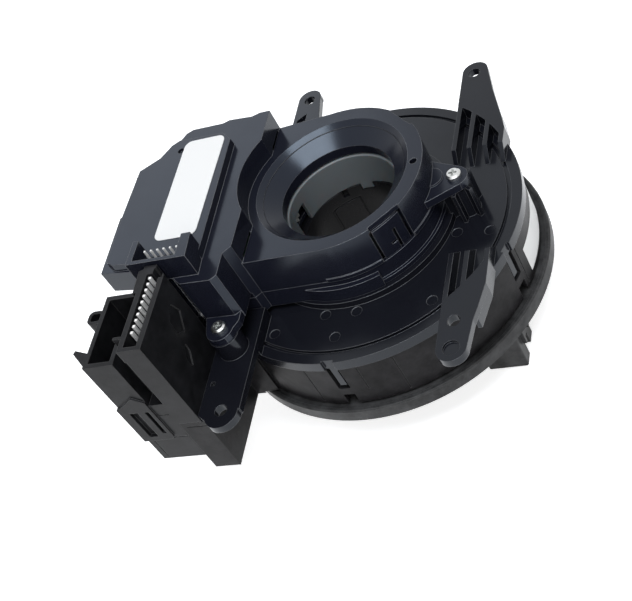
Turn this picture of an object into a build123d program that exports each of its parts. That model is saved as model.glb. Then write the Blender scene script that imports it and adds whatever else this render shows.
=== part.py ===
"""Steering clock spring with its steering angle sensor, in millimetres.

Z is the spin axis, with +Z towards the steering column and the origin at the wheel-side face.
The stator (cover, case, connector and sensor housing) stays on the column. The rotor (flange,
sleeve, wheel-side connector and sensor ring) turns with the wheel, and drives two measuring gears.
"""
import os
from math import atan2, cos, degrees, hypot, pi, radians, sin, tan

from build123d import *

os.makedirs("parts", exist_ok=True)

# Clearances
seat_gap = 0.05
running_gap = 0.3
fold_gap = 0.6

# Rotor flange and sleeve
flange_reach = 3.3
flange_t = 6.0
flange_rim = 2.0
flange_web = 2.0
ledge_w = 1.7
ledge_step = 0.5
rib_t = 1.6
rib_count = 12
rib_start = 3.0
bore_r = 20.6
sleeve_wall = 1.8
tube_wall = 2.0
tube_top = 31.6
collar_r = 29.0
collar_t = 1.3
sleeve_top = 33.0

# Drum: case wall and cover
case_r = 60.2
case_wall = 2.0
case_lift = 0.8
skirt_z = 27.0
rim_step = 0.8
cover_top = 31.3
cover_t = 2.4
cover_bore_r = 26.5
groove_edge = 3.9
groove_w = 1.5
groove_depth = 1.3
window_count = 5
window_start = -92.0
window_angle = 4.2
window_floor = 15.3
notch_height = 5.0
tongue_t = 1.3
tongue_angle = 2.4
tongue_floor = 16.5
seam_w = 0.4
seam_depth = 0.3
seams = [(-103.0, 7.6, 26.6), (-84.0, 13.4, 26.6), (-71.5, 7.8, 26.6), (-16.0, 7.6, 26.0)]
mark_r = 2.0
mark_depth = 0.15
marks = [(51.6, -119), (40.1, -99), (40.2, -82), (49.9, -91), (51.6, -50), (52.1, -13), (40.1, -15)]

# Collar that carries the sensor, and the lip inside it
collar_reach = 3.4
collar_gap = 0.4
sensor_floor = 34.0
lip_step = 2.8
lip_w = 1.6
lip_rise = 1.6

# Ears and carrier plate
ear_top = 36.5
ear_t = 3.0
ear_hole_r = 2.3
ear_rib_step = 0.4
ear_rib_foot = 5.0
ear_rib_t = 1.7
plate_reach = 15.7
plate_back = 8.7
plate_tip_r = 6.4
plate_slot = 1.6

# Sensor housing
wall_t = 1.8
sensor_r = 34.2
sensor_mouth = 42.0
funnel_top = 57.9
funnel_edge = 5.4
funnel_throat_r = 21.5
funnel_throat_z = 51.5
funnel_end = 47.7
box_top = 66.7
box_floor = 57.0
box_step_x = -60.0
deep_front = -36.4
box_cut_edge = 2.2
panel_top = 69.8
shroud_top = 76.5
tab_top = 47.6
tab_t = 3.0
right_tab_reach = 8.0
right_tab_y = 0.3
right_tab_r = 4.7
left_tab_r = 5.2
boss_r = 4.3
left_boss_r = 5.6
screw_r = 1.7
screw_head_r = 2.7
screw_head_t = 1.9
screw_length = 12.0

latch_angle = -45.5
latch_sweep = 19.5
latch_gap = 1.8
latch_t = 0.9
latch_pad = 0.8
latch_pad_top = 55.3
bead_t = 0.4
bead_h = 1.6

# Gear train of the sensor
module = 0.8
ring_teeth = 60
gear_a_teeth = 24
gear_b_teeth = 22
tooth_share = 0.8
pressure_angle = 20.0
ring_bore_r = 21.0
ring_wall = 1.6
ring_top = 47.0
ring_gear_z = 42.4
ring_gear_t = 3.0
ring_tab_depth = 2.8
ring_slot_top = 41.6
gear_a_angle = 174.0
gear_b_angle = 216.0
gear_top = 45.4
spigot_r = 1.95
spigot_fit = 0.05
magnet_r = 3.0
magnet_t = 2.0

# Sensor board and pins
board_z = 49.6
board_t = 1.6
board_gap = 0.8
board_bore_r = 25.0
board_right = -15.0
pin_pitch = 2.54
pin_side = 0.64
pin_fit = 0.03
sensor_pin_count = 6
sensor_pin_x = -54.8
sensor_pin_y = -38.9

# Connector block, set off from the case wall at the angle block_angle
block_angle = -130.0
header_inset = 5.3
header_reach = 0.8
header_width = 9.1
header_length = 36.0
header_wall = 2.0
header_top = 75.2
header_floor = 62.0
header_pin_side = 1.0
header_pin_count = 10
header_pin_inset = 5.9
header_pin_start = 5.1
socket_width = 17.2
socket_inset = 5.7
socket_top = 69.3
socket_floor = 24.0
socket_foot = 13.8
socket_wall = 1.7
column_foot = 5.9
column_step = 1.0
neck_angle = -127.4
neck_reach = 4.2
neck_w = 6.5

# Wheel-side connector
plug_inset = 12.5
plug_width = 14.7
plug_length = 15.9
plug_front = -33.4
plug_foot = -18.0
plug_wall = 1.6
plug_floor = -3.0

# Flat cable
cable_t = 0.3
cable_turns = 4
cable_start_r = 27.5
cable_pitch = 5.95
cable_base = 6.8
cable_width = 21.5

# Labels
label_t = 0.2
drum_label_t = 0.15


def sector(r_in, r_out, middle, sweep):
    """A ring sector about the origin, centred on the angle middle."""
    start = middle - sweep / 2
    with BuildSketch() as piece:
        with BuildLine():
            outer = CenterArc((0, 0), r_out, start, sweep)
            inner = CenterArc((0, 0), r_in, start, sweep)
            Line(outer @ 0, inner @ 0)
            Line(outer @ 1, inner @ 1)
        make_face()
    return piece.sketch


def ring(r_in, r_out):
    """A flat ring about the origin."""
    with BuildSketch() as piece:
        Circle(r_out)
        Circle(r_in, mode=Mode.SUBTRACT)
    return piece.sketch


def polygon(*points):
    """A face with straight sides through the given points."""
    with BuildSketch() as piece:
        with BuildLine():
            Polyline(*points, close=True)
        make_face()
    return piece.sketch


def corner_box(x0, x1, y0, y1, corner=0.0):
    """A rectangle from its sides, with rounded corners where a radius is given."""
    with BuildSketch() as piece:
        with Locations(((x0 + x1) / 2, (y0 + y1) / 2)):
            if corner > 0:
                RectangleRounded(x1 - x0, y1 - y0, corner)
            else:
                Rectangle(x1 - x0, y1 - y0)
    return piece.sketch


def gear_face(teeth, turn):
    """A spur gear's outline, with one tooth centred on the angle turn."""
    pitch_r = module * teeth / 2
    slope = tan(radians(pressure_angle))
    half_pitch = tooth_share * pi / teeth / 2
    half_tip = half_pitch - slope * addendum / pitch_r
    half_root = half_pitch + slope * dedendum / pitch_r
    points = []
    for k in range(teeth):
        middle = radians(turn) + 2 * pi * k / teeth
        for radius, side in (
            (pitch_r - dedendum, -half_root),
            (pitch_r + addendum, -half_tip),
            (pitch_r + addendum, half_tip),
            (pitch_r - dedendum, half_root),
        ):
            points.append((radius * cos(middle + side), radius * sin(middle + side)))
    return polygon(*points)


def polar(radius, angle):
    """The point at a radius and an angle in degrees."""
    return (radius * cos(radians(angle)), radius * sin(radians(angle)))


def shifted(origin, *points):
    """Points given relative to an origin, as absolute points."""
    return [(origin[0] + x, origin[1] + y) for x, y in points]


sleeve_r = bore_r + sleeve_wall
tube_in_r = sleeve_r + seat_gap
tube_out_r = tube_in_r + tube_wall
case_foot = flange_t + case_lift
case_in_r = case_r - case_wall
cover_under = cover_top - cover_t
ear_under = ear_top - ear_t
window_angles = [window_start + 360 / window_count * k for k in range(window_count)]
ring_pitch_r = module * ring_teeth / 2
gear_a_pitch_r = module * gear_a_teeth / 2
gear_b_pitch_r = module * gear_b_teeth / 2
addendum = 0.9 * module
dedendum = 1.15 * module
rim_r = case_r + rim_step
groove_out_r = rim_r - groove_edge
groove_in_r = groove_out_r - groove_w
ear_rib_r = case_r - ear_rib_step
flange_r = case_r + flange_reach
ledge_r = flange_r - ledge_w
collar_out_r = sensor_r + collar_reach
collar_in_r = sensor_r + collar_gap
lip_out_r = collar_in_r - lip_step
lip_in_r = lip_out_r - lip_w
funnel_mouth_r = sensor_r - funnel_edge
box_cut_r = sensor_r - box_cut_edge
right_tab = (sensor_r + right_tab_reach, right_tab_y)
plug_right = flange_r - plug_inset
plug_left = plug_right - plug_width
plug_back = plug_front + plug_length
block_x, block_y = polar(case_r, block_angle)
header_right = block_x - header_inset
header_left = header_right - header_width
header_back = block_y + header_reach
header_front = header_back - header_length
header_pin_x = header_right - header_pin_inset
header_pin_y = header_back - header_pin_start
socket_left = header_left - socket_width
socket_back = header_back - socket_inset
column_right = header_right + column_step
neck_x, neck_y = polar(case_r - neck_reach, neck_angle)
left_tab = (header_right + 7.4, header_back - 8.1)
plate_right = header_right + plate_reach
plate_tip = (header_right + 8.8, header_front + 1.0)
plate_hole = (header_right + 8.6, header_front + 1.7)
rib_inner_r = tube_out_r - tube_wall / 2
rib_outer_r = flange_r - flange_rim / 2

# Rotor flange: wheel-side disc with rim, web, ribs and the tube that the cable winds on
with BuildPart() as rotor_flange:
    with BuildSketch(Plane.XZ):
        with BuildLine():
            Polyline(
                (tube_in_r, 0),
                (tube_out_r, 0),
                (tube_out_r, flange_t - flange_web - ledge_step),
                (flange_r - flange_rim, flange_t - flange_web - ledge_step),
                (flange_r - flange_rim, 0),
                (flange_r, 0),
                (flange_r, flange_t),
                (ledge_r, flange_t),
                (ledge_r, flange_t - ledge_step),
                (tube_out_r, flange_t - ledge_step),
                (tube_out_r, tube_top),
                (tube_in_r, tube_top),
                close=True,
            )
        make_face()
    revolve(axis=Axis.Z)
    with BuildSketch(Plane.XY.offset(1)):
        with PolarLocations((rib_outer_r + rib_inner_r) / 2, rib_count, rib_start):
            Rectangle(rib_outer_r - rib_inner_r, rib_t)
        add(
            corner_box(plug_left - fold_gap, plug_right + fold_gap,
                       plug_front - fold_gap, plug_back + fold_gap),
            mode=Mode.SUBTRACT,
        )
    extrude(amount=flange_t - flange_web - ledge_step - 1)
    chamfer(
        rotor_flange.edges().filter_by(GeomType.CIRCLE).filter_by(lambda e: e.radius > flange_r - 0.01), 0.5)
rotor_flange.part.label = "rotor_flange"

# Hub sleeve: inner sleeve with castellated top, outlined panels and the collar that traps the cover
castle_count = 3
castle_start = 90.5
castle_angle = 14.0
slit_angle = 6.0
slit_turn = 25.0
slit_depth = 3.4
panel_depth = 0.4
panel_line = 0.8
panel_foot = 17.0
panel_head = 27.8
panel_start = 102.0
panel_end = 137.0
with BuildPart() as hub_sleeve:
    with BuildSketch():
        add(ring(bore_r, sleeve_r))
    extrude(amount=sleeve_top)
    with BuildSketch(Plane.XY.offset(tube_top)):
        add(ring(sleeve_r - seat_gap, collar_r))
    extrude(amount=collar_t)
    with BuildSketch(Plane.XY.offset(sleeve_top - ring_tab_depth - seat_gap)):
        for k in range(castle_count):
            add(sector(bore_r - 1, sleeve_r + 2 * running_gap,
                       castle_start + 360 / castle_count * k, castle_angle))
    extrude(amount=ring_tab_depth + 1, mode=Mode.SUBTRACT)
    with BuildSketch(Plane.XY.offset(sleeve_top - slit_depth)):
        for k in range(castle_count):
            slit_middle = castle_start + slit_turn + 360 / castle_count * k
            add(sector(bore_r - 1, sleeve_r, slit_middle, slit_angle))
    extrude(amount=slit_depth + 1, mode=Mode.SUBTRACT)
    with BuildSketch(Plane.XY.offset(panel_head - panel_line)):
        add(sector(bore_r - 1, bore_r + panel_depth, (panel_start + panel_end) / 2, panel_end - panel_start))
    extrude(amount=panel_line, mode=Mode.SUBTRACT)
    with BuildSketch(Plane.XY.offset(panel_foot)):
        add(sector(bore_r - 1, bore_r + panel_depth, panel_start + 1.1, 2.2))
        add(sector(bore_r - 1, bore_r + panel_depth, panel_end - 1.1, 2.2))
    extrude(amount=panel_head - panel_foot, mode=Mode.SUBTRACT)
hub_sleeve.part.label = "hub_sleeve"

# Wheel-side connector under the flange, open towards the wheel
plug_top = flange_t - flange_web - ledge_step
plug_x = (plug_left + plug_right) / 2
plug_y = (plug_front + plug_back) / 2
plug_pin_columns = 4
plug_pin_rows = 2
plug_pin_pitch = 3.0
plug_row_pitch = 5.0
with BuildPart() as rotor_connector:
    with BuildSketch(Plane.XY.offset(plug_foot)):
        add(corner_box(plug_left, plug_right, plug_front, plug_back, 0.8))
    extrude(amount=plug_top - plug_foot)
    with BuildSketch(Plane.XY.offset(plug_foot)):
        add(
            corner_box(
                plug_left + plug_wall, plug_right - plug_wall,
                plug_front + plug_wall, plug_back - plug_wall, 0.6
            )
        )
    extrude(amount=plug_floor - plug_foot, mode=Mode.SUBTRACT)
    with BuildSketch(Plane.XY.offset(plug_floor)):
        with Locations((plug_x, plug_y)):
            with GridLocations(plug_pin_pitch, plug_row_pitch, plug_pin_columns, plug_pin_rows):
                Rectangle(pin_side + 2 * pin_fit, pin_side + 2 * pin_fit)
    extrude(amount=4, mode=Mode.SUBTRACT)
    with BuildSketch(Plane.XY.offset(plug_foot)):
        with Locations((plug_right, plug_y)):
            Rectangle(4 * plug_wall, 5.0)
    extrude(amount=6, mode=Mode.SUBTRACT)
    with BuildSketch(Plane.XY.offset(plug_foot + 8)):
        with Locations((plug_right, plug_y + 3.6), (plug_right, plug_y - 3.6)):
            Rectangle(2 * plug_wall, 1.2)
    extrude(amount=plug_top - plug_foot - 8)
rotor_connector.part.label = "rotor_connector"

with BuildPart() as rotor_terminals:
    with BuildSketch(Plane.XY.offset(plug_foot + 5)):
        with Locations((plug_x, plug_y)):
            with GridLocations(plug_pin_pitch, plug_row_pitch, plug_pin_columns, plug_pin_rows):
                Rectangle(pin_side, pin_side)
    extrude(amount=plug_floor + 3.8 - plug_foot - 5)
rotor_terminals.part.label = "rotor_terminals"

# Sensor ring: pale sleeve with gear teeth, tabs that sit in the hub sleeve and one tall slot
ring_out_r = ring_bore_r + ring_wall
ring_slot_middle = 172.0
ring_slot_angle = 24.0
with BuildPart() as sensor_ring:
    with BuildSketch(Plane.XY.offset(sleeve_top + seat_gap)):
        add(ring(ring_bore_r, ring_out_r))
    extrude(amount=ring_top - sleeve_top - seat_gap)
    with BuildSketch(Plane.XY.offset(ring_gear_z)):
        add(gear_face(ring_teeth, 0))
        Circle(ring_bore_r, mode=Mode.SUBTRACT)
    extrude(amount=ring_gear_t)
    with BuildSketch(Plane.XY.offset(sleeve_top - ring_tab_depth)):
        for k in range(castle_count):
            tab_middle = castle_start + 360 / castle_count * k
            add(sector(ring_bore_r, sleeve_r - seat_gap, tab_middle, castle_angle - 1.0))
    extrude(amount=ring_tab_depth + 1)
    with BuildSketch(Plane.XY.offset(sleeve_top)):
        add(sector(ring_bore_r - 1, ring_out_r + 0.5, ring_slot_middle, ring_slot_angle))
    extrude(amount=ring_slot_top - sleeve_top, mode=Mode.SUBTRACT)
    mouth_edges = sensor_ring.edges().filter_by(GeomType.CIRCLE).group_by(Axis.Z)[-1]
    chamfer(mouth_edges, 0.4)
sensor_ring.part.label = "sensor_ring"

# Measuring gears, each with a magnet on top
gear_a_at = polar(ring_pitch_r + gear_a_pitch_r, gear_a_angle)
gear_b_at = polar(ring_pitch_r + gear_b_pitch_r, gear_b_angle)
gear_base = sensor_floor + wall_t + running_gap
spigot_top = gear_top - 2.0

with BuildPart() as measuring_gear_a:
    with BuildSketch(Plane(origin=(gear_a_at[0], gear_a_at[1], gear_base))):
        add(gear_face(gear_a_teeth, gear_a_angle + 180 / gear_a_teeth))
    extrude(amount=gear_top - gear_base)
    with BuildSketch(Plane(origin=(gear_a_at[0], gear_a_at[1], gear_base))):
        Circle(spigot_r + spigot_fit)
    extrude(amount=spigot_top + running_gap - gear_base, mode=Mode.SUBTRACT)
measuring_gear_a.part.label = "measuring_gear_a"

with BuildPart() as measuring_gear_b:
    with BuildSketch(Plane(origin=(gear_b_at[0], gear_b_at[1], gear_base))):
        add(gear_face(gear_b_teeth, gear_b_angle + 180 / gear_b_teeth))
    extrude(amount=gear_top - gear_base)
    with BuildSketch(Plane(origin=(gear_b_at[0], gear_b_at[1], gear_base))):
        Circle(spigot_r + spigot_fit)
    extrude(amount=spigot_top + running_gap - gear_base, mode=Mode.SUBTRACT)
measuring_gear_b.part.label = "measuring_gear_b"

with BuildPart() as magnet_a:
    with BuildSketch(Plane(origin=(gear_a_at[0], gear_a_at[1], gear_top))):
        Circle(magnet_r)
    extrude(amount=magnet_t)
    chamfer(magnet_a.edges().group_by(Axis.Z)[-1], 0.3)
magnet_a.part.label = "magnet_a"

with BuildPart() as magnet_b:
    with BuildSketch(Plane(origin=(gear_b_at[0], gear_b_at[1], gear_top))):
        Circle(magnet_r)
    extrude(amount=magnet_t)
    chamfer(magnet_b.edges().group_by(Axis.Z)[-1], 0.3)
magnet_b.part.label = "magnet_b"

# Stator cover: disc, rim, skirt, tongues, collar, three ribbed ears, the carrier plate and bosses
ear_a_at = polar(case_r, 40)
ear_a_ribs = [-11.9, -6.05, -0.2, 5.65]
ear_a_rib_end = -13.2
ear_a_tip = shifted(ear_a_at, (-7.2, 28.3))[0]
ear_a_tip_r = 5.0
ear_a_hole = shifted(ear_a_at, (-7.5, 27.5))[0]
ear_b_at = polar(case_r, 121)
ear_b_ribs = [-6.2, -0.6, 4.1]
ear_b_rib_end = -10.6
ear_b_tip = shifted(ear_b_at, (-1.3, 20.4))[0]
ear_b_tip_r = 4.9
ear_b_hole = shifted(ear_b_at, (-1.0, 19.4))[0]
ear_c_at = polar(case_r, -45)
ear_c_ribs = [-3.3, 2.3, 9.4]
ear_c_rib_end = 18.1
ear_c_tip = shifted(ear_c_at, (2.1, -22.1))[0]
ear_c_tip_r = 5.3
ear_c_hole = shifted(ear_c_at, (1.8, -11.2))[0]
ear_c_recess_r = 2.9
gusset_t = 1.4


def ear_outline(points, tip, tip_r):
    """An ear seen from above, with its round tip and its inner end cut by the rib circle."""
    with BuildSketch() as piece:
        add(polygon(*points))
        with Locations(tip):
            Circle(tip_r)
        Circle(ear_rib_r, mode=Mode.SUBTRACT)
    return piece.sketch


ear_a_face = ear_outline(
    shifted(ear_a_at, (-11.9, 1.3), (-12.15, 28.3), (-2.25, 29.0), (1.2, 15.3), (6.2, -1.2), (7.35, -5.7),
            (7.35, -12.7)),
    ear_a_tip,
    ear_a_tip_r,
)
ear_b_face = ear_outline(
    shifted(ear_b_at, (-6.2, -9.6), (-6.15, 19.9), (3.55, 19.9), (5.8, 4.4), (5.8, -1.6)),
    ear_b_tip, ear_b_tip_r
)
ear_c_face = ear_outline(
    shifted(ear_c_at, (-3.3, 2.6), (-3.2, -22.1), (7.4, -22.1), (8.3, -12.0), (9.5, -6.1), (11.1, 3.1),
            (11.1, 16.6)),
    ear_c_tip,
    ear_c_tip_r,
)
with BuildSketch() as plate_face:
    add(polygon((header_right, header_back + 5.3), (header_right, header_front + 0.3),
                (header_right + 3.5, header_front - 2.2), plate_tip, (plate_right, header_front + 1.8),
                (plate_right, header_back + 5.3)))
    with Locations(plate_tip):
        Circle(plate_tip_r)
    add(corner_box(header_left, plate_right, header_back + seat_gap, header_back + plate_back))

with BuildPart() as stator_cover:
    with BuildSketch(Plane.XZ):
        with BuildLine():
            Polyline(
                (cover_bore_r, cover_under),
                (case_in_r, cover_under),
                (case_in_r, skirt_z),
                (rim_r, skirt_z),
                (rim_r, cover_top),
                (groove_out_r, cover_top),
                (groove_out_r, cover_top - groove_depth),
                (groove_in_r, cover_top - groove_depth),
                (groove_in_r, cover_top),
                (collar_out_r, cover_top),
                (collar_out_r, sensor_floor),
                (collar_in_r, sensor_floor),
                (collar_in_r, cover_top),
                (lip_out_r, cover_top),
                (lip_out_r, cover_top + lip_rise),
                (lip_in_r, cover_top + lip_rise),
                (lip_in_r, cover_top),
                (cover_bore_r, cover_top),
                close=True,
            )
        make_face()
    revolve(axis=Axis.Z)
    # Notches in the rim over each snap window, and the tongues that reach down into them
    with BuildSketch(Plane.XY.offset(skirt_z)):
        for angle in window_angles:
            add(sector(case_r - tongue_t + 1, rim_r + 1, angle, window_angle))
    extrude(amount=cover_top - skirt_z, mode=Mode.SUBTRACT)
    with BuildSketch(Plane.XY.offset(tongue_floor)):
        for angle in window_angles:
            add(sector(case_in_r + seat_gap, case_in_r + seat_gap + tongue_t, angle, tongue_angle))
    extrude(amount=skirt_z - tongue_floor + 0.5)
    # Ear plates outside the rim
    with BuildSketch(Plane.XY.offset(ear_under)):
        add(ear_a_face)
        add(ear_b_face)
        add(ear_c_face)
        with Locations(ear_a_hole, ear_b_hole, ear_c_hole):
            Circle(ear_hole_r, mode=Mode.SUBTRACT)
    extrude(amount=ear_t)
    # Ear ribs standing on the disc, with sloped inner ends
    for ear_at, rib_list, rib_start_y, side in ((ear_a_at, ear_a_ribs, ear_a_rib_end, 1),
                                                (ear_b_at, ear_b_ribs, ear_b_rib_end, 1),
                                                (ear_c_at, ear_c_ribs, ear_c_rib_end, -1)):
        rib_end = ear_at[1] + rib_start_y
        for rib_offset in rib_list:
            rib_x = ear_at[0] + rib_offset
            rib_far = side * (ear_rib_r**2 - rib_x**2) ** 0.5 + side * 1.5
            with BuildSketch(Plane.YZ.offset(rib_x)):
                add(polygon(
                    (rib_end - side * ear_rib_foot, cover_top - 0.2),
                    (rib_end, ear_top),
                    (rib_far, ear_top),
                    (rib_far, cover_top - 0.2),
                ))
            extrude(amount=ear_rib_t)
    # Webs that join the ear plates to the rim, and the gussets under their long sides
    with BuildSketch(Plane.XY.offset(cover_top - 0.2)):
        add(ear_a_face)
        add(ear_b_face)
        add(ear_c_face)
        Circle(rim_r, mode=Mode.INTERSECT)
    extrude(amount=ear_under + 0.4 - cover_top)
    with BuildSketch(Plane.XY.offset(skirt_z + 2.0)):
        add(polygon(*shifted(ear_c_at, (11.1 - gusset_t, 16.6), (11.1, 16.6), (11.1, 3.1), (8.8, -9.4),
                             (8.8 - gusset_t, -9.4), (11.1 - gusset_t, 3.1))))
        add(polygon(*shifted(ear_a_at, (7.35 - gusset_t, -10.7), (7.35, -10.7), (7.35, -5.7), (4.9, 3.3),
                             (4.9 - gusset_t, 3.3), (7.35 - gusset_t, -5.7))))
        Circle(ear_rib_r, mode=Mode.SUBTRACT)
    extrude(amount=ear_under + 0.1 - skirt_z - 2.0)
    # Pocket at the root of the far ear and round recess at the tip of the near one
    with BuildSketch(Plane.XY.offset(ear_top - 2.0)):
        add(polygon(*shifted(ear_b_at, (-4.5, 4.4), (-0.8, 4.4), (-0.8, 11.6), (-4.5, 8.6))))
    extrude(amount=3.0, mode=Mode.SUBTRACT)
    with BuildSketch(Plane.XY.offset(ear_top - 0.9)):
        with Locations(ear_c_tip):
            Circle(ear_c_recess_r)
    extrude(amount=1.0, mode=Mode.SUBTRACT)
    # Carrier plate and what fills it down to the disc
    with BuildSketch(Plane.XY.offset(ear_under)):
        add(plate_face.sketch)
    extrude(amount=ear_t)
    with BuildSketch(Plane.XY.offset(cover_top - 0.2)):
        add(plate_face.sketch)
        Circle(rim_r, mode=Mode.INTERSECT)
    extrude(amount=ear_under + 0.4 - cover_top)
    with BuildSketch(Plane.XY.offset(ear_top - ear_t - 1)):
        with Locations(plate_hole):
            Circle(ear_hole_r)
        with Locations((header_right + 2.6, header_front + 13.2)):
            Rectangle(plate_slot, plate_slot)
    extrude(amount=ear_t + 2, mode=Mode.SUBTRACT)
    # Ejector marks on the disc
    with BuildSketch(Plane.XY.offset(cover_top - mark_depth)):
        for mark_at_r, mark_angle in marks:
            with Locations(polar(mark_at_r, mark_angle)):
                Circle(mark_r)
    extrude(amount=2 * mark_depth, mode=Mode.SUBTRACT)
    # Screw bosses
    with BuildSketch(Plane.XY.offset(cover_top - 0.2)):
        with Locations(right_tab):
            Circle(boss_r)
        for turn in (-150, -95, -40, 60):
            with Locations(Location((right_tab[0], right_tab[1], 0), (0, 0, turn))):
                with Locations((boss_r, 0)):
                    Rectangle(5.0, 1.3)
    extrude(amount=tab_top - tab_t - cover_top + 0.2)
    with BuildSketch(Plane.XY.offset(ear_top - 0.2)):
        with Locations(left_tab):
            Circle(left_boss_r)
    extrude(amount=tab_top - tab_t - ear_top + 0.2)
    with BuildSketch(Plane.XY.offset(tab_top - tab_t)):
        with Locations(right_tab, left_tab):
            Circle(screw_r)
    extrude(amount=-screw_length, mode=Mode.SUBTRACT)
stator_cover.part.label = "stator_cover"

# Stator case: drum wall with snap windows, and the lower half of the connector column
column_wall = 1.8
neck_front = neck_y - neck_w
with BuildSketch() as column_outline:
    add(polygon((header_left, header_front), (column_right, header_front), (column_right, neck_front),
                (neck_x, neck_front), (neck_x, neck_y), (header_left, neck_y)))
    Circle(case_in_r, mode=Mode.SUBTRACT)
with BuildPart() as stator_case:
    with BuildSketch(Plane.XY.offset(case_foot)):
        add(ring(case_in_r, case_r))
    extrude(amount=skirt_z - case_foot)
    with BuildSketch(Plane.XY.offset(column_foot)):
        add(column_outline.sketch)
    extrude(amount=ear_under - column_foot)
    with BuildSketch(Plane.XY.offset(column_foot)):
        Circle(flange_r + 1.0)
    extrude(amount=case_lift + flange_t - column_foot, mode=Mode.SUBTRACT)
    with BuildSketch(Plane.XY.offset(skirt_z)):
        Circle(rim_r + seat_gap)
    extrude(amount=ear_under - skirt_z, mode=Mode.SUBTRACT)
    with BuildSketch(Plane.XY.offset(column_foot)):
        add(corner_box(header_left + column_wall, column_right - column_wall, header_front + column_wall,
                       neck_y - column_wall - 5.0))
    extrude(amount=ear_under - column_wall - column_foot, mode=Mode.SUBTRACT)
    with BuildSketch(Plane.XY.offset(window_floor)):
        for angle in window_angles:
            add(sector(case_in_r - 1, case_r + 1, angle, window_angle))
    extrude(amount=skirt_z - window_floor, mode=Mode.SUBTRACT)
    with BuildSketch(Plane.XY.offset(case_foot)):
        for angle in window_angles:
            add(sector(case_in_r - 1, case_r + 1, angle, window_angle))
    extrude(amount=notch_height, mode=Mode.SUBTRACT)
    # Seams between the wall's panels, and one across the column's front
    for seam_angle, seam_foot, seam_top in seams:
        with BuildSketch(Plane.XY.offset(seam_foot)):
            add(sector(case_r - seam_depth, case_r + 1, seam_angle, degrees(seam_w / case_r)))
        extrude(amount=seam_top - seam_foot, mode=Mode.SUBTRACT)
    with BuildSketch(Plane.XY.offset(ear_under - 2.6)):
        add(corner_box(header_left + 2.0, column_right + 1, header_front - 1, header_front + seam_depth))
    extrude(amount=seam_w, mode=Mode.SUBTRACT)
stator_case.part.label = "stator_case"

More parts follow.
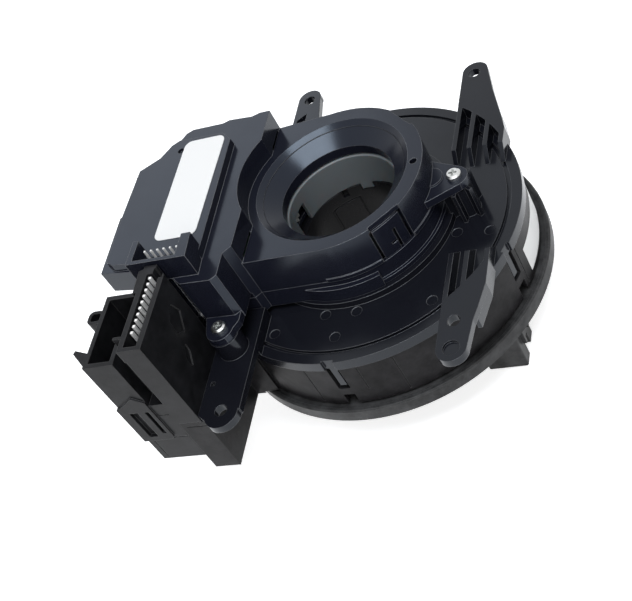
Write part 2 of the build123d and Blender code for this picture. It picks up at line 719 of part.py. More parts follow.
# Connector housing: header frame with ten pins beside the deep socket block
slot_left = header_left - 5.2
slot_depth_y = 5.2
slot_foot = 45.5
strip_left = header_left - 6.8
step_y = header_front + 9.7
lobe_front = socket_back - 11.5
lobe_back = socket_back - 5.8
lobe_x = socket_left - 4.9
lobe_foot = 61.0
lobe_corner = 2.0
latch_foot = 26.2
latch_side = 0.8
latch_front = 0.7
latch_slot_foot = 28.5
latch_slot_top = 43.0
header_block_foot = socket_top
header_gap_foot = 68.0
leaf_depth = 0.5
with BuildPart() as connector_housing:
    with BuildSketch(Plane.XY.offset(ear_under)):
        add(polygon((header_left, header_front), (header_right, header_front),
                    (header_right, header_back - 5.0),
                    (header_right - 5.0, header_back), (header_left, header_back)))
    extrude(amount=header_top - ear_under)
    with BuildSketch(Plane.XY.offset(socket_foot)):
        add(corner_box(socket_left, header_left - seat_gap, header_front, socket_back))
    extrude(amount=ear_under - socket_foot)
    with BuildSketch(Plane.XY.offset(ear_under)):
        add(corner_box(socket_left, header_left, header_front, socket_back))
    extrude(amount=socket_top - ear_under)
    # Latch bulge low on the front and left faces, with its two slots
    with BuildSketch(Plane.XZ.offset(-header_front - 1.0)):
        add(polygon(
            (socket_left - latch_side, latch_foot),
            (socket_left - latch_side, latch_foot + 19.4),
            (socket_left + 0.8, latch_foot + 19.9),
            (socket_left + 7.8, latch_foot + 24.8),
            (slot_left, latch_foot + 21.7),
            (slot_left, latch_foot + 1.2),
            (slot_left - 1.2, latch_foot),
        ))
    extrude(amount=1.0 + latch_front)
    with BuildSketch(Plane.XY.offset(latch_foot)):
        add(corner_box(socket_left - latch_side, socket_left + 1.0,
                       header_front - latch_front, header_front + 6.0))
    extrude(amount=19.4)
    with BuildSketch(Plane.XZ.offset(-header_front - 0.8)):
        add(polygon((socket_left + 2.8, latch_slot_foot), (socket_left + 2.8, latch_slot_top),
                    (socket_left + 6.3, latch_slot_top), (socket_left + 6.3, latch_slot_foot)))
        add(polygon((slot_left - 3.0, latch_slot_foot + 1.5), (slot_left - 3.0, latch_slot_top),
                    (slot_left - 1.4, latch_slot_top), (slot_left - 1.4, latch_slot_foot + 1.5)))
    extrude(amount=2.0 + latch_front, mode=Mode.SUBTRACT)
    # Seams on the front face
    with BuildSketch(Plane.XZ.offset(-header_front - seam_depth)):
        add(polygon((slot_left, 39.3), (header_left - 0.4, 39.3),
                    (header_left - 0.4, 39.7), (slot_left, 39.7)))
        add(polygon((slot_left - 1.2, 26.0), (header_left - 0.4, 26.0), (header_left - 0.4, 26.4),
                    (slot_left - 1.2, 26.4)))
        add(polygon((socket_left + 2.2, socket_foot + 0.6), (socket_left + 2.6, socket_foot + 0.6),
                    (socket_left + 2.6, latch_foot), (socket_left + 2.2, latch_foot)))
    extrude(amount=1.0 + seam_depth, mode=Mode.SUBTRACT)
    # Header cavity and its pin holes
    with BuildSketch(Plane.XY.offset(header_floor)):
        add(corner_box(header_left + header_wall, header_right - header_wall, header_front + 1.6,
                       header_back - 5.0 + 1.2))
    extrude(amount=header_top - header_floor, mode=Mode.SUBTRACT)
    with BuildSketch(Plane.XY.offset(header_floor - 10)):
        for k in range(header_pin_count):
            with Locations((header_pin_x, header_pin_y - pin_pitch * k)):
                Rectangle(header_pin_side + 2 * pin_fit, header_pin_side + 2 * pin_fit)
    extrude(amount=10, mode=Mode.SUBTRACT)
    # The header's far wall is low beside a hook, with a wide block on the wall to the socket
    with BuildSketch(Plane.XY.offset(header_gap_foot)):
        add(corner_box(header_left + 4.2, header_right - 0.6, header_back - 6.0, header_back + 1))
    extrude(amount=header_top - header_gap_foot, mode=Mode.SUBTRACT)
    with BuildSketch(Plane.XY.offset(header_block_foot)):
        add(polygon((header_left - 1.8, header_back - 2.0), (header_left + 0.6, header_back - 1.0),
                    (header_left + header_wall, header_back - 4.6),
                    (header_left + header_wall - 0.6, header_back - 10.8),
                    (header_left - 1.4, header_back - 11.7)))
        add(corner_box(header_left + 3.6, header_left + 4.8, header_back - 1.4, header_back))
        add(corner_box(header_left - 3.2, header_left + 0.6, header_front + 5.4, header_front + 6.4))
    extrude(amount=header_top - header_block_foot)
    # Socket cavity in two stretches, the tall slot beside it and the cut under the latch
    with BuildSketch(Plane.XY.offset(socket_floor)):
        add(corner_box(socket_left + socket_wall, header_left - socket_wall,
                       step_y, socket_back - socket_wall))
        add(corner_box(socket_left + socket_wall, strip_left, header_front + socket_wall, step_y))
    extrude(amount=socket_top - socket_floor, mode=Mode.SUBTRACT)
    with BuildSketch(Plane.XY.offset(slot_foot)):
        add(corner_box(slot_left, header_left + 0.6, header_front - 1, header_front + slot_depth_y))
    extrude(amount=socket_top - slot_foot + 0.1, mode=Mode.SUBTRACT)
    # Lug and hook on the outer wall
    with BuildSketch(Plane.XY.offset(lobe_foot)):
        add(corner_box(lobe_x, socket_left + 1.0, lobe_front, lobe_back, lobe_corner))
        add(corner_box(lobe_x + 1.2, socket_left, lobe_front + 1.2, lobe_back - 1.2, lobe_corner - 1.2),
            mode=Mode.SUBTRACT)
        add(corner_box(socket_left, socket_left + 1.0, lobe_front, lobe_back))
    extrude(amount=socket_top - lobe_foot)
    with BuildSketch(Plane.XY.offset(socket_top - 6.0)):
        add(polygon((socket_left, header_front + 6.3), (socket_left - 5.5, header_front + 8.1),
                    (socket_left - 5.9, header_front + 6.7), (socket_left, header_front + 0.9)))
    extrude(amount=6.0)
    # Two shallow leaf shapes on the header's side wall
    with BuildSketch(Plane.YZ.offset(header_right)) as leaf_faces:
        add(polygon((header_back - 11.7, 67.7), (header_back - 9.7, 61.8), (header_back - 14.0, 56.2),
                    (header_back - 17.9, 59.1), (header_back - 17.2, 64.9)))
        add(polygon((header_back - 17.8, 55.7), (header_back - 18.2, 50.6), (header_back - 22.5, 44.9),
                    (header_back - 22.4, 50.6)))
        fillet(leaf_faces.vertices(), 0.9)
    extrude(amount=-leaf_depth, mode=Mode.SUBTRACT)
    with BuildSketch(Plane.XY.offset(socket_foot)):
        add(corner_box(socket_left + socket_wall, header_left - socket_wall, header_front + socket_wall,
                       socket_back - socket_wall))
    extrude(amount=socket_floor - 2.0 - socket_foot, mode=Mode.SUBTRACT)
connector_housing.part.label = "connector_housing"

with BuildPart() as header_pins:
    with BuildSketch(Plane.XY.offset(header_floor - 9.5)):
        for k in range(header_pin_count):
            with Locations((header_pin_x, header_pin_y - pin_pitch * k)):
                Rectangle(header_pin_side, header_pin_side)
    extrude(amount=header_top - 0.3 - header_floor + 9.5)
    chamfer(header_pins.edges().group_by(Axis.Z)[-1], 0.3)
header_pins.part.label = "header_pins"

socket_pin_x = (socket_left + header_left) / 2
socket_pin_y = socket_back - 11.0
with BuildPart() as socket_terminals:
    with BuildSketch(Plane.XY.offset(socket_floor)):
        with Locations((socket_pin_x, socket_pin_y)):
            with GridLocations(4.0, 3.5, 3, 4):
                Rectangle(0.8, 1.5)
    extrude(amount=9.0)
socket_terminals.part.label = "socket_terminals"

# Flat cable wound as a watch spring, from half rings about two centres
half_pitch = cable_pitch / 2
cable_end_r = cable_start_r + cable_turns * cable_pitch
cable_turn = 40.0
with BuildPart() as ribbon_cable:
    with BuildSketch(
        Plane((0, 0, cable_base), x_dir=(cos(radians(cable_turn)), sin(radians(cable_turn)), 0))
    ):
        for k in range(2 * cable_turns):
            half_r = cable_start_r + half_pitch * k
            centre_x = 0 if k % 2 == 0 else half_pitch
            with BuildLine():
                outer_arc = CenterArc((centre_x, 0), half_r + cable_t, 180 * (k % 2), 180)
                inner_arc = CenterArc((centre_x, 0), half_r, 180 * (k % 2), 180)
                Line(outer_arc @ 0, inner_arc @ 0)
                Line(outer_arc @ 1, inner_arc @ 1)
            make_face()
    extrude(amount=cable_width)
ribbon_cable.part.label = "ribbon_cable"

# Terminal blocks at the ends of the flat cable
outer_block_r = cable_end_r + cable_t + half_pitch
with BuildPart() as outer_ribbon_carrier:
    with BuildSketch(Plane.XY.offset(cable_base + 0.6)):
        add(sector(outer_block_r - half_pitch + running_gap, case_in_r - seat_gap, cable_turn - 14, 22))
    extrude(amount=cable_width - 1.0)
outer_ribbon_carrier.part.label = "outer_ribbon_carrier"

with BuildPart() as inner_ribbon_carrier:
    with BuildSketch(Plane.XY.offset(cable_base + 0.6)):
        add(sector(tube_out_r + seat_gap, cable_start_r - running_gap, cable_turn + 20, 40))
    extrude(amount=cable_width - 1.0)
inner_ribbon_carrier.part.label = "inner_ribbon_carrier"

# Sensor outline pieces, used by the cover, the tray and the board
with BuildSketch() as drum_outline:
    Circle(sensor_r)
    add(polygon((0, -sensor_r), (-27.2, -sensor_r - 0.2), (-27.2, sensor_r - 2.3), (0, sensor_r)))
with BuildSketch() as box_outline:
    with BuildLine():
        Polyline(
            (-64.1, 25.5),
            (-62.0, 29.3),
            (-59.5, 30.8),
            (-46.5, 30.8),
            (-44.0, 31.9),
            (-34.3, 31.2),
            (-31.0, 32.4),
            (-27.0, 32.4),
            (-27.0, -34.0),
            (-29.8, -36.8),
            (-29.6, -46.3),
            (-31.8, -48.1),
            (-43.6, -47.8),
            (-48.0, -43.8),
            (-57.5, -43.8),
            (-60.5, -39.2),
            (-79.2, -37.0),
            (-79.6, -10.4),
            (-77.6, -9.0),
            (-78.6, 10.0),
            (-76.8, 12.4),
        )
        ThreePointArc((-76.8, 12.4), (-70.3, 16.2), (-64.1, 25.5))
    make_face()
with BuildSketch() as front_outline:
    add(box_outline.sketch)
    add(corner_box(box_step_x - sensor_r, box_step_x, -2 * sensor_r, 2 * sensor_r), mode=Mode.SUBTRACT)
with BuildSketch() as deep_outline:
    add(drum_outline.sketch)
    add(front_outline.sketch)
    add(corner_box(3 * deep_front, 0, 2 * deep_front, deep_front), mode=Mode.SUBTRACT)
with BuildSketch() as deep_hollow:
    add(deep_outline.sketch)
    offset(amount=-wall_t, kind=Kind.INTERSECTION)
with BuildSketch() as front_hollow:
    add(drum_outline.sketch)
    add(front_outline.sketch)
    offset(amount=-wall_t, kind=Kind.INTERSECTION)
with BuildSketch() as box_hollow:
    add(box_outline.sketch)
    offset(amount=-wall_t, kind=Kind.INTERSECTION)
    Circle(box_cut_r + wall_t, mode=Mode.SUBTRACT)
with BuildSketch() as panel_outline:
    add(polygon((-42.5, 21.9), (-61.4, 22.6), (-64.4, 20.6), (-67.9, 14.8), (-75.6, 9.8), (-76.2, -12.0),
                (-75.8, -35.0), (-72.8, -37.0), (-60.5, -38.0), (-37.2, -38.0), (-37.2, -34.0),
                (-38.2, 17.6)))
with BuildSketch() as shroud_outline:
    add(polygon((-60.6, -44.6), (-36.9, -44.6), (-37.6, -34.0), (-60.6, -34.0)))
with BuildSketch() as cavity_outline:
    add(corner_box(-58.4, -41.2, -43.2, -36.0))
with BuildSketch() as right_tab_face:
    add(polygon((sensor_r - 3.0, 10.4), (right_tab[0] + 2.2, right_tab[1] + 4.2),
                (right_tab[0] + 2.4, right_tab[1] - 4.1), (sensor_r - 3.0, -10.8)))
    with Locations(right_tab):
        Circle(right_tab_r)
    Circle(sensor_r - wall_t, mode=Mode.SUBTRACT)
with BuildSketch() as left_tab_face:
    add(polygon((-43.6, -46.5), (left_tab[0] - 5.0, left_tab[1] - 1.5),
                (left_tab[0] + 3.0, left_tab[1] - 4.3),
                (-29.8, -50.7), (-29.8, -46.5)))
    with Locations(left_tab):
        Circle(left_tab_r)

with BuildPart() as sensor_cover:
    with BuildSketch(Plane.XY.offset(sensor_mouth)):
        add(deep_outline.sketch)
    extrude(amount=funnel_top - sensor_mouth)
    with BuildSketch(Plane.XY.offset(tab_top - tab_t)):
        add(front_outline.sketch)
    extrude(amount=box_top - tab_top + tab_t)
    with BuildSketch(Plane.XY.offset(box_floor)):
        add(box_outline.sketch)
    extrude(amount=box_top - box_floor)
    with BuildSketch(Plane.XY.offset(box_top - 0.1)):
        add(panel_outline.sketch)
    extrude(amount=panel_top - box_top + 0.1, taper=4)
    with BuildSketch(Plane.XY.offset(funnel_top)):
        Circle(box_cut_r)
    extrude(amount=box_top, mode=Mode.SUBTRACT)
    # Hollow of the drum part and of the box, open below except under the shallow end
    with BuildSketch(Plane.XY.offset(sensor_mouth)):
        add(deep_hollow.sketch)
    extrude(amount=tab_top - tab_t - sensor_mouth, mode=Mode.SUBTRACT)
    with BuildSketch(Plane.XY.offset(tab_top - tab_t)):
        add(front_hollow.sketch)
    extrude(amount=funnel_top - wall_t - tab_top + tab_t, mode=Mode.SUBTRACT)
    with BuildSketch(Plane.XY.offset(funnel_top - wall_t)):
        add(front_hollow.sketch)
        Circle(box_cut_r + wall_t, mode=Mode.SUBTRACT)
        add(corner_box(-27.0, 2 * sensor_r, -2 * sensor_r, 2 * sensor_r), mode=Mode.SUBTRACT)
    extrude(amount=box_floor + wall_t - funnel_top + wall_t, mode=Mode.SUBTRACT)
    with BuildSketch(Plane.XY.offset(box_floor + wall_t)):
        add(box_hollow.sketch)
    extrude(amount=box_top - box_floor - 2 * wall_t, mode=Mode.SUBTRACT)
    # Funnel and the bore through it
    with BuildSketch(Plane.XZ):
        add(polygon(
            (funnel_throat_r, funnel_end),
            (funnel_throat_r + wall_t, funnel_end),
            (funnel_throat_r + wall_t, funnel_throat_z),
            (funnel_mouth_r + wall_t, funnel_top - 0.5),
            (funnel_mouth_r, funnel_top - 0.5),
            (funnel_throat_r, funnel_throat_z),
        ))
    revolve(axis=Axis.Z)
    with BuildSketch(Plane.XZ):
        add(polygon(
            (0, funnel_end - 1),
            (funnel_throat_r, funnel_end - 1),
            (funnel_throat_r, funnel_throat_z),
            (funnel_mouth_r, funnel_top),
            (funnel_mouth_r, funnel_top + 1),
            (0, funnel_top + 1),
        ))
    revolve(axis=Axis.Z, mode=Mode.SUBTRACT)
    # Connector shroud on the box
    with BuildSketch(Plane.XY.offset(box_top - 0.1)):
        add(shroud_outline.sketch)
    extrude(amount=shroud_top - box_top + 0.1)
    with BuildSketch(Plane.XY.offset(panel_top - 2.5)):
        add(cavity_outline.sketch)
    extrude(amount=shroud_top - panel_top + 3, mode=Mode.SUBTRACT)
    with BuildSketch(Plane.XY.offset(panel_top)):
        add(corner_box(-58.4, -41.2, -37, -30))
    extrude(amount=shroud_top - panel_top + 1, mode=Mode.SUBTRACT)
    with BuildSketch(Plane.XY.offset(box_top - wall_t - 1)):
        for k in range(sensor_pin_count):
            with Locations((sensor_pin_x + pin_pitch * k, sensor_pin_y)):
                Rectangle(pin_side + 2 * pin_fit, pin_side + 2 * pin_fit)
    extrude(amount=8, mode=Mode.SUBTRACT)
    # Tabs with screw holes
    with BuildSketch(Plane.XY.offset(tab_top - tab_t)):
        add(right_tab_face.sketch)
        add(left_tab_face.sketch)
        with Locations(right_tab, left_tab):
            Circle(screw_r + 0.3, mode=Mode.SUBTRACT)
    extrude(amount=tab_t)
    # Half-round pad on the right tab
    with BuildSketch(Plane.XY.offset(tab_top - 0.2)):
        with Locations((sensor_r - 0.6, 1.1)):
            Circle(4.4)
        Circle(sensor_r - 0.8, mode=Mode.SUBTRACT)
    extrude(amount=0.9)
    # Small hole in the plate and the flat on its far edge
    with BuildSketch(Plane.XY.offset(funnel_top - 2.2)):
        with Locations((sensor_r - 3.2, 0.5)):
            Circle(1.35)
    extrude(amount=3, mode=Mode.SUBTRACT)
    with BuildSketch(Plane.XY.offset(latch_pad_top)):
        add(polygon(polar(sensor_r - 0.3, 57.3), polar(sensor_r - 0.7, 35.4), polar(sensor_r + 4.0, 35.4),
                    polar(sensor_r + 4.0, 57.3)))
    extrude(amount=funnel_top - latch_pad_top, mode=Mode.SUBTRACT)
    # Latch window in the front wall, with its slotted tongue hanging from the plate
    with BuildSketch(Plane.XY.offset(sensor_mouth)):
        add(sector(sensor_r - wall_t - 0.2, sensor_r + 1, latch_angle, latch_sweep + 2 * latch_gap))
    extrude(amount=funnel_top - wall_t - sensor_mouth, mode=Mode.SUBTRACT)
    with BuildSketch(Plane.XY.offset(funnel_top - wall_t - 0.1)):
        add(polygon(polar(sensor_r - 1.0, latch_angle - 10.5), polar(sensor_r - 0.5, latch_angle + 11.5),
                    polar(sensor_r + 4.0, latch_angle + 11.5), polar(sensor_r + 4.0, latch_angle - 10.5)))
    extrude(amount=wall_t + 0.2, mode=Mode.SUBTRACT)
    with BuildSketch(Plane.XY.offset(sensor_mouth)):
        add(sector(sensor_r - 2.3, sensor_r - 2.3 + latch_t, latch_angle, latch_sweep))
    extrude(amount=funnel_top - wall_t + 0.1 - sensor_mouth)
    with BuildSketch(Plane.XY.offset(sensor_mouth)):
        add(sector(sensor_r - 2.4 + latch_t, sensor_r - 2.3 + latch_t + latch_pad, latch_angle, latch_sweep))
    extrude(amount=latch_pad_top - sensor_mouth)
    with BuildSketch(Plane.XY.offset(sensor_mouth)):
        add(sector(sensor_r - 3.2, sensor_r + 1, latch_angle + 2.5, 1.8))
    extrude(amount=9.0, mode=Mode.SUBTRACT)
    with BuildSketch(Plane.XY.offset(sensor_mouth + 3.6)):
        add(sector(sensor_r - 3.2, sensor_r + 1, latch_angle + 0.2, 5.0))
    extrude(amount=0.9, mode=Mode.SUBTRACT)
    # Bead along the foot of the wall, and a blind hole in the panel
    with BuildSketch(Plane.XY.offset(sensor_mouth)):
        add(sector(sensor_r - 0.5, sensor_r + bead_t, -75, 35))
        add(sector(sensor_r - 0.5, sensor_r + bead_t, -22, 23))
    extrude(amount=bead_h)
    with BuildSketch(Plane.XY.offset(panel_top - 1.2)):
        with Locations((-59.2, 16.4)):
            Circle(1.3)
    extrude(amount=2.0, mode=Mode.SUBTRACT)
sensor_cover.part.label = "sensor_cover"

# Sensor tray: floor, low wall, spigots for the gears and posts for the board
tray_wall = 1.5
tray_lip_r = sensor_r + 2.0
tray_rim_r = sensor_r + 1.2
tray_lip_top = 39.6
tray_bore_r = ring_out_r + 0.8
posts = [(-50.5, -28.0), (-50.5, 24.5), (-56.0, -2.0), (-31.5, 26.5)]
with BuildSketch() as tray_inner:
    add(deep_outline.sketch)
    offset(amount=-tray_wall, kind=Kind.INTERSECTION)
with BuildPart() as sensor_base:
    with BuildSketch(Plane.XY.offset(sensor_floor)):
        add(deep_outline.sketch)
        Circle(tray_bore_r, mode=Mode.SUBTRACT)
    extrude(amount=wall_t)
    with BuildSketch(Plane.XY.offset(sensor_floor)):
        add(deep_outline.sketch)
        add(tray_inner.sketch, mode=Mode.SUBTRACT)
    extrude(amount=sensor_mouth - sensor_floor)
    with BuildSketch(Plane.XY.offset(sensor_floor)):
        add(sector(sensor_r - 0.5, tray_lip_r, -92, 58))
    extrude(amount=tray_lip_top - sensor_floor)
    with BuildSketch(Plane.XY.offset(sensor_floor)):
        add(sector(sensor_r - 0.5, tray_rim_r, -30, 70))
    extrude(amount=wall_t)
    with BuildSketch(Plane.XY.offset(sensor_floor)):
        with Locations(gear_a_at, gear_b_at):
            Circle(spigot_r)
    extrude(amount=spigot_top - sensor_floor)
    with BuildSketch(Plane.XY.offset(sensor_floor)):
        with Locations(*posts):
            Circle(1.8)
    extrude(amount=board_z - sensor_floor)
sensor_base.part.label = "sensor_base"

with BuildPart() as sensor_board:
    with BuildSketch(Plane.XY.offset(board_z)):
        add(front_hollow.sketch)
        offset(amount=-board_gap, kind=Kind.INTERSECTION)
        Circle(board_bore_r, mode=Mode.SUBTRACT)
        add(corner_box(board_right, 2 * sensor_r, -2 * sensor_r, 2 * sensor_r), mode=Mode.SUBTRACT)
        for k in range(sensor_pin_count):
            with Locations((sensor_pin_x + pin_pitch * k, sensor_pin_y)):
                Rectangle(pin_side + 2 * pin_fit, pin_side + 2 * pin_fit, mode=Mode.SUBTRACT)
    extrude(amount=board_t)
sensor_board.part.label = "sensor_board"

with BuildPart() as sensor_pins:
    with BuildSketch(Plane.XY.offset(board_z - 1.5)):
        for k in range(sensor_pin_count):
            with Locations((sensor_pin_x + pin_pitch * k, sensor_pin_y)):
                Rectangle(pin_side, pin_side)
    extrude(amount=shroud_top - 0.5 - board_z + 1.5)
    chamfer(sensor_pins.edges().group_by(Axis.Z)[-1], 0.15)
sensor_pins.part.label = "sensor_pins"

# Two cross-recess screws
recess_w = 0.9
recess_l = 3.0
with BuildPart() as sensor_screws:
    with BuildSketch(Plane.XY.offset(tab_top)):
        with Locations(right_tab, left_tab):
            Circle(screw_head_r)
    extrude(amount=screw_head_t)
    chamfer(sensor_screws.edges().group_by(Axis.Z)[-1], 0.6)
    with BuildSketch(Plane.XY.offset(tab_top)):
        with Locations(right_tab, left_tab):
            Circle(screw_r - seat_gap)
    extrude(amount=-(screw_length + tab_t - 1.0))
    with BuildSketch(Plane.XY.offset(tab_top + screw_head_t)):
        with Locations(right_tab, left_tab):
            Rectangle(recess_l, recess_w)
            Rectangle(recess_w, recess_l)
    extrude(amount=-1.2, mode=Mode.SUBTRACT)
sensor_screws.part.label = "sensor_screws"

# Blank labels
with BuildPart() as cover_label:
    with BuildSketch(Plane.XY.offset(panel_top)) as label_face:
        add(polygon((-57.9, -28.8), (-41.0, -28.8), (-41.0, 20.4), (-57.9, 20.4)))
        fillet(label_face.vertices(), 3.0)
    extrude(amount=label_t)
cover_label.part.label = "cover_label"

with BuildPart() as drum_label:
    with BuildSketch(Plane.XY.offset(9.0)):
        add(sector(case_r, case_r + drum_label_t, 2.0, 28))
    extrude(amount=11.0)
drum_label.part.label = "drum_label"

pieces = [
    rotor_flange, hub_sleeve, rotor_connector, rotor_terminals, sensor_ring,
    measuring_gear_a, measuring_gear_b,
    magnet_a, magnet_b, stator_cover, stator_case, connector_housing, header_pins, socket_terminals,
    ribbon_cable, outer_ribbon_carrier, inner_ribbon_carrier, sensor_cover, sensor_base, sensor_board,
    sensor_pins, sensor_screws, cover_label, drum_label,
]
for piece in pieces:
    export_step(piece.part, f"parts/{piece.part.label}.step")
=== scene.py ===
"""Dresses the steering clock spring: plastics, metals, labels, studio light and the photograph's camera."""

import bmesh
import bpy
from mathutils import Matrix, Vector


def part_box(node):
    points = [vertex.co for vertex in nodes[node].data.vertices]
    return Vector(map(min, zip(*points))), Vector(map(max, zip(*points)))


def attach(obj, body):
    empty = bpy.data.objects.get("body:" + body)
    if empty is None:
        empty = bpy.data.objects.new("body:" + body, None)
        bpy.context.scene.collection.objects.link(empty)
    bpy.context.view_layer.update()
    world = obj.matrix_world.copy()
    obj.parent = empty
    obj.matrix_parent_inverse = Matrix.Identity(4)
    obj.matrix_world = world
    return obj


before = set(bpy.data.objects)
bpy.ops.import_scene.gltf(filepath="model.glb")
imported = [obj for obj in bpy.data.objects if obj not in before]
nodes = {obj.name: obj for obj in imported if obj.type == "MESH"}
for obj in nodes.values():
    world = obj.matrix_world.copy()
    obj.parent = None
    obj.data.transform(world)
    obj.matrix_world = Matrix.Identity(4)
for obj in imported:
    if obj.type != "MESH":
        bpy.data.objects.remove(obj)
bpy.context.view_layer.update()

MM = 0.001
WHITE = (1.0, 1.0, 1.0)

# Stretches of a noise's value in which most of it lies
noise_middle = (0.3, 0.7)
noise_centre = (0.35, 0.6)

# Surface of the moulded plastics
plastic_ior = 1.5
cloud_scale = 45.0
grain_depth = 0.1 * MM
bevel_samples = 6
spot_scale = 170.0
spot_span = (0.35, 0.68)
# Painted edge highlight: the span of turning over an edge in which it lightens the base colour, and its least
# share between the clouds
edge_highlight_facing = (0.86, 0.985)
least_edge_highlight = 0.35

# Surface of the metals
scratch_scale = 900.0

# Dark filler block in the carrier plate's corner, put there as painted shade, in millimetres
plate_edge_x = -53.0
plate_top = 36.5
plate_low = 33.5
filler_reach = 4.5
filler_gap = 0.4
filler_edge = 0.3
inset = 0.1

# Camera fitted to the photograph
photo_width = 632.0
focal_pixels = 1257.56
sensor_width = 36.0
camera_at = Vector((177.374, -298.487, 329.94)) * MM
camera_right = Vector((0.895187, 0.175118, -0.409846))
camera_down = Vector((-0.128394, -0.779266, -0.613400))
camera_forward = Vector((-0.426797, 0.601729, -0.675105))

# Floor and world
floor_z = -19.0 * MM
floor_size = 6.0
floor_grey = 0.85
floor_lift = 0.72
world_light = 0.3
world_seen = 1.0

# Point that the lamps are aimed at
lamp_target = Vector((0.0, 0.0, 0.03))


def rgba(colour):
    """A colour with full alpha."""
    return (*colour, 1.0)


def new_material(name):
    """An empty node material with its Principled shader and its output."""
    material = bpy.data.materials.new(name)
    material.use_nodes = True
    tree = material.node_tree
    tree.nodes.clear()
    shader = tree.nodes.new("ShaderNodeBsdfPrincipled")
    output = tree.nodes.new("ShaderNodeOutputMaterial")
    tree.links.new(shader.outputs["BSDF"], output.inputs["Surface"])
    return material, tree, shader


def noise(tree, coords, scale, detail, roughness=0.55):
    """A noise texture in object coordinates."""
    node = tree.nodes.new("ShaderNodeTexNoise")
    node.inputs["Scale"].default_value = scale
    node.inputs["Detail"].default_value = detail
    node.inputs["Roughness"].default_value = roughness
    tree.links.new(coords.outputs["Object"], node.inputs["Vector"])
    return node.outputs["Fac"]


def ramp(tree, source, low, high, span):
    """Maps a value from a span to the range low to high."""
    node = tree.nodes.new("ShaderNodeMapRange")
    node.inputs["From Min"].default_value = span[0]
    node.inputs["From Max"].default_value = span[1]
    node.inputs["To Min"].default_value = low
    node.inputs["To Max"].default_value = high
    tree.links.new(source, node.inputs["Value"])
    return node.outputs["Result"]


def combine(tree, operation, first, second):
    """A math node of two values."""
    node = tree.nodes.new("ShaderNodeMath")
    node.operation = operation
    tree.links.new(first, node.inputs[0])
    tree.links.new(second, node.inputs[1])
    return node.outputs["Value"]


def rounded_edges(tree, radius):
    """The surface's direction as if its edges were rounded by the radius, in millimetres."""
    node = tree.nodes.new("ShaderNodeBevel")
    node.samples = bevel_samples
    node.inputs["Radius"].default_value = radius * MM
    return node.outputs["Normal"]


def blend_colours(tree, share, first, second):
    """Mixes two colours by a share."""
    node = tree.nodes.new("ShaderNodeMix")
    node.data_type = "RGBA"
    node.inputs["A"].default_value = rgba(first)
    node.inputs["B"].default_value = rgba(second)
    tree.links.new(share, node.inputs["Factor"])
    return node


def mottled_colour(tree, coords, colour, mottle):
    """The base colour in darker and lighter spots."""
    spots = ramp(tree, noise(tree, coords, spot_scale, 5.0, 0.7), 0.0, 1.0, spot_span)
    darker = [(1.0 - 0.5 * mottle) * share for share in colour]
    lighter = [(1.0 + mottle) * share for share in colour]
    return blend_colours(tree, spots, darker, lighter).outputs["Result"]


def painted_edge_highlight_colour(tree, rounded, clouds, colour, edge_highlight, mottled):
    """The base colour with a painted highlight: lighter where the surface turns over an edge, more in some
    places than in others.
    """
    surface = tree.nodes.new("ShaderNodeNewGeometry")
    facing = tree.nodes.new("ShaderNodeVectorMath")
    facing.operation = "DOT_PRODUCT"
    tree.links.new(rounded, facing.inputs[0])
    tree.links.new(surface.outputs["Normal"], facing.inputs[1])
    edges = ramp(tree, facing.outputs["Value"], 1.0, 0.0, edge_highlight_facing)
    highlight_patches = ramp(tree, clouds, least_edge_highlight, 1.0, noise_centre)
    lighter = [share + edge_highlight for share in colour]
    highlighted = blend_colours(tree, combine(tree, "MULTIPLY", edges, highlight_patches), colour, lighter)
    if mottled is not None:
        tree.links.new(mottled, highlighted.inputs["A"])
    return highlighted.outputs["Result"]


def plastic(name, colour, rough, shine=0.18, tint=WHITE, grain=0.03, grain_scale=2600.0, cloud=0.05,
            edge=0.35, edge_highlight=0.0, mottle=0.0):
    """Moulded plastic: a fine grain, slow clouds in the gloss, and rounded edges, which may carry a painted
    highlight in the base colour.
    """
    material, tree, shader = new_material(name)
    shader.inputs["Base Color"].default_value = rgba(colour)
    shader.inputs["IOR"].default_value = plastic_ior
    shader.inputs["Specular IOR Level"].default_value = shine
    shader.inputs["Specular Tint"].default_value = rgba(tint)
    coords = tree.nodes.new("ShaderNodeTexCoord")
    clouds = noise(tree, coords, cloud_scale, 4.0)
    gloss = ramp(tree, clouds, rough - cloud, rough + cloud, noise_middle)
    tree.links.new(gloss, shader.inputs["Roughness"])
    rounded = rounded_edges(tree, edge)
    bump = tree.nodes.new("ShaderNodeBump")
    bump.inputs["Strength"].default_value = grain
    bump.inputs["Distance"].default_value = grain_depth
    tree.links.new(noise(tree, coords, grain_scale, 2.0), bump.inputs["Height"])
    tree.links.new(rounded, bump.inputs["Normal"])
    tree.links.new(bump.outputs["Normal"], shader.inputs["Normal"])
    mottled = None
    if mottle > 0.0:
        mottled = mottled_colour(tree, coords, colour, mottle)
        tree.links.new(mottled, shader.inputs["Base Color"])
    # Painted highlight: the base colour lightened along the edges
    if edge_highlight > 0.0:
        tree.links.new(painted_edge_highlight_colour(tree, rounded, clouds, colour, edge_highlight, mottled), shader.inputs["Base Color"])
    return material


def metal(name, colour, rough, scratch=0.08, metallic=1.0):
    """Metal with fine unevenness in its gloss."""
    material, tree, shader = new_material(name)
    shader.inputs["Base Color"].default_value = rgba(colour)
    shader.inputs["Metallic"].default_value = metallic
    coords = tree.nodes.new("ShaderNodeTexCoord")
    fine = noise(tree, coords, scratch_scale, 4.0)
    gloss = ramp(tree, fine, rough - scratch, rough + scratch, noise_middle)
    tree.links.new(gloss, shader.inputs["Roughness"])
    return material


def let_light_in(material, weight, depth):
    """Makes a material milky to a depth in millimetres."""
    shader = material.node_tree.nodes["Principled BSDF"]
    shader.inputs["Subsurface Weight"].default_value = weight
    shader.inputs["Subsurface Scale"].default_value = depth * MM


def paint(material, *node_names):
    """Gives CAD nodes one material."""
    for node_name in node_names:
        mesh = nodes[node_name].data
        mesh.materials.clear()
        mesh.materials.append(material)


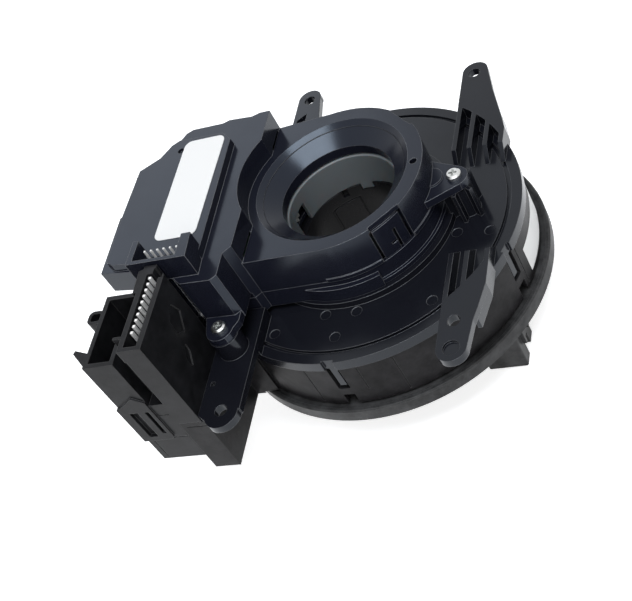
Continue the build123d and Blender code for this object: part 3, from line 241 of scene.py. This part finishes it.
def block(name, low, high, edge, material):
    """A block between two corners with its edges rounded by a modifier, in millimetres."""
    mesh = bpy.data.meshes.new(name)
    form = bmesh.new()
    bmesh.ops.create_cube(form, size=1.0)
    for vertex in form.verts:
        for axis in range(3):
            share = vertex.co[axis] + 0.5
            vertex.co[axis] = (low[axis] + share * (high[axis] - low[axis])) * MM
    form.to_mesh(mesh)
    form.free()
    piece = bpy.data.objects.new(name, mesh)
    bpy.context.scene.collection.objects.link(piece)
    rounded = piece.modifiers.new("edges", "BEVEL")
    rounded.width = edge * MM
    rounded.segments = 3
    mesh.materials.append(material)
    return piece


def background_rays(tree):
    """Is 1 for the rays that see the background: from the camera, off gloss and through glass."""
    rays = tree.nodes.new("ShaderNodeLightPath")
    seen = combine(tree, "MAXIMUM", rays.outputs["Is Camera Ray"], rays.outputs["Is Glossy Ray"])
    return combine(tree, "MAXIMUM", seen, rays.outputs["Is Transmission Ray"])


def add_camera():
    """The camera at the photograph's place, with its focal length in pixels."""
    data = bpy.data.cameras.new("camera")
    data.sensor_width = sensor_width
    data.lens = sensor_width * focal_pixels / photo_width
    data.clip_start = 0.01
    camera = bpy.data.objects.new("camera", data)
    turn = Matrix((camera_right, -camera_down, -camera_forward)).transposed()
    camera.matrix_world = Matrix.Translation(camera_at) @ turn.to_4x4()
    bpy.context.scene.collection.objects.link(camera)
    bpy.context.scene.camera = camera


def add_floor():
    """A pale floor that looks white and keeps the object's shadow."""
    bpy.ops.mesh.primitive_plane_add(size=floor_size, location=(0, 0, floor_z))
    floor = bpy.context.object
    floor.name = "floor"
    material = bpy.data.materials.new("floor_white")
    material.use_nodes = True
    tree = material.node_tree
    tree.nodes.clear()
    diffuse = tree.nodes.new("ShaderNodeBsdfDiffuse")
    diffuse.inputs["Color"].default_value = rgba((floor_grey, floor_grey, floor_grey))
    glow = tree.nodes.new("ShaderNodeEmission")
    glow.inputs["Color"].default_value = rgba(WHITE)
    lift = tree.nodes.new("ShaderNodeMath")
    lift.operation = "MULTIPLY"
    lift.inputs[1].default_value = floor_lift
    together = tree.nodes.new("ShaderNodeAddShader")
    output = tree.nodes.new("ShaderNodeOutputMaterial")
    tree.links.new(background_rays(tree), lift.inputs[0])
    tree.links.new(lift.outputs["Value"], glow.inputs["Strength"])
    tree.links.new(diffuse.outputs["BSDF"], together.inputs[0])
    tree.links.new(glow.outputs["Emission"], together.inputs[1])
    tree.links.new(together.outputs["Shader"], output.inputs["Surface"])
    floor.data.materials.append(material)


def add_world():
    """A white world, weaker as a light than as a background."""
    world = bpy.data.worlds.new("studio")
    bpy.context.scene.world = world
    world.use_nodes = True
    tree = world.node_tree
    tree.nodes.clear()
    strength = ramp(tree, background_rays(tree), world_light, world_seen, (0.0, 1.0))
    background = tree.nodes.new("ShaderNodeBackground")
    background.inputs["Color"].default_value = rgba(WHITE)
    output = tree.nodes.new("ShaderNodeOutputWorld")
    tree.links.new(strength, background.inputs["Strength"])
    tree.links.new(background.outputs["Background"], output.inputs["Surface"])


def softbox(name, location, width, height, power, colour):
    """A rectangular lamp aimed at the object, in metres and watts."""
    data = bpy.data.lights.new(name, "AREA")
    data.shape = "RECTANGLE"
    data.size = width
    data.size_y = height
    data.energy = power
    data.color = colour
    lamp = bpy.data.objects.new(name, data)
    lamp.location = location
    direction = lamp_target - Vector(location)
    lamp.rotation_euler = direction.to_track_quat("-Z", "Y").to_euler()
    bpy.context.scene.collection.objects.link(lamp)


# Black plastics, from the warm and dull flange to the blue and glossy sensor
# The lightening of the base colour along edges, given last for these plastics, is a painted highlight
flange_black = plastic("flange_black", (0.028, 0.028, 0.0285), 0.44, shine=0.15, grain=0.3,
                       grain_scale=1500.0, cloud=0.14, edge_highlight=0.05, mottle=0.8)
case_black = plastic("case_black", (0.009, 0.0085, 0.0092), 0.38, shine=0.09, grain=0.2,
                     grain_scale=1800.0, cloud=0.12, edge_highlight=0.04, mottle=0.9)
cover_black = plastic("cover_black", (0.0062, 0.0066, 0.0095), 0.2, shine=0.3, tint=(0.84, 0.92, 1.0),
                      cloud=0.07, edge_highlight=0.09)
sensor_black = plastic("sensor_black", (0.0078, 0.0086, 0.0145), 0.2, shine=0.32, tint=(0.74, 0.86, 1.0),
                       grain=0.05, cloud=0.06, edge_highlight=0.17)
connector_black = plastic("connector_black", (0.007, 0.007, 0.0078), 0.32, shine=0.12, grain=0.1,
                          edge_highlight=0.06, mottle=0.8)
hub_black = plastic("hub_black", (0.005, 0.005, 0.006), 0.3)
paint(flange_black, "rotor_flange", "rotor_connector")
paint(case_black, "stator_case")
paint(cover_black, "stator_cover")
paint(sensor_black, "sensor_cover", "sensor_base")
paint(connector_black, "connector_housing")
paint(hub_black, "hub_sleeve")

# Pale plastics: the sensor's milky ring and its gears, and the cable's film and terminal blocks
ring_pale = plastic("ring_pale", (0.118, 0.130, 0.136), 0.33, shine=0.4)
let_light_in(ring_pale, 0.25, 2.0)
gear_white = plastic("gear_white", (0.72, 0.72, 0.69), 0.4, shine=0.4)
carrier_grey = plastic("carrier_grey", (0.5, 0.5, 0.47), 0.45)
cable_film = plastic("cable_film", (0.45, 0.38, 0.22), 0.25, shine=0.5)
paint(ring_pale, "sensor_ring")
paint(gear_white, "measuring_gear_a", "measuring_gear_b")
paint(carrier_grey, "outer_ribbon_carrier", "inner_ribbon_carrier")
paint(cable_film, "ribbon_cable")

# Circuit board, magnets, terminals, screws and labels
board_green = plastic("board_green", (0.01, 0.09, 0.03), 0.3)
magnet_grey = metal("magnet_grey", (0.12, 0.12, 0.125), 0.45)
tin = metal("tin", (0.9, 0.89, 0.87), 0.4, metallic=0.35)
screw_zinc = metal("screw_zinc", (0.62, 0.63, 0.62), 0.28)
label_white = plastic("label_white", (0.79, 0.785, 0.77), 0.45, shine=0.3, grain=0.01, edge=0.05)
paint(board_green, "sensor_board")
paint(magnet_grey, "magnet_a", "magnet_b")
paint(tin, "header_pins", "sensor_pins", "socket_terminals", "rotor_terminals")
paint(screw_zinc, "sensor_screws")
paint(label_white, "cover_label", "drum_label")

# A dark filler block as painted shade: it closes the corner between the header block and the sensor's tray,
# hiding the tray's front face there and keeping the floor's light off it
tray_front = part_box("sensor_base")[0][1] / MM
header_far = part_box("connector_housing")[1][1] / MM
shade_filler = block("plate_shade_filler",
                 (plate_edge_x - filler_reach, header_far + inset, plate_low + inset),
                 (plate_edge_x + inset, tray_front - filler_gap, plate_top - inset),
                 filler_edge, cover_black)
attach(shade_filler, "stator")

add_camera()
add_floor()
add_world()
softbox("top", (0.19, -0.32, 0.98), 0.75, 0.4, 10.0, (0.91, 0.95, 1.0))
softbox("back", (-1.0, 1.15, 1.0), 0.8, 0.6, 1.6, (0.8, 0.88, 1.0))
softbox("front", (0.35, -1.1, 0.45), 0.9, 0.5, 4.0, WHITE)

bpy.context.scene.view_settings.view_transform = "Standard"
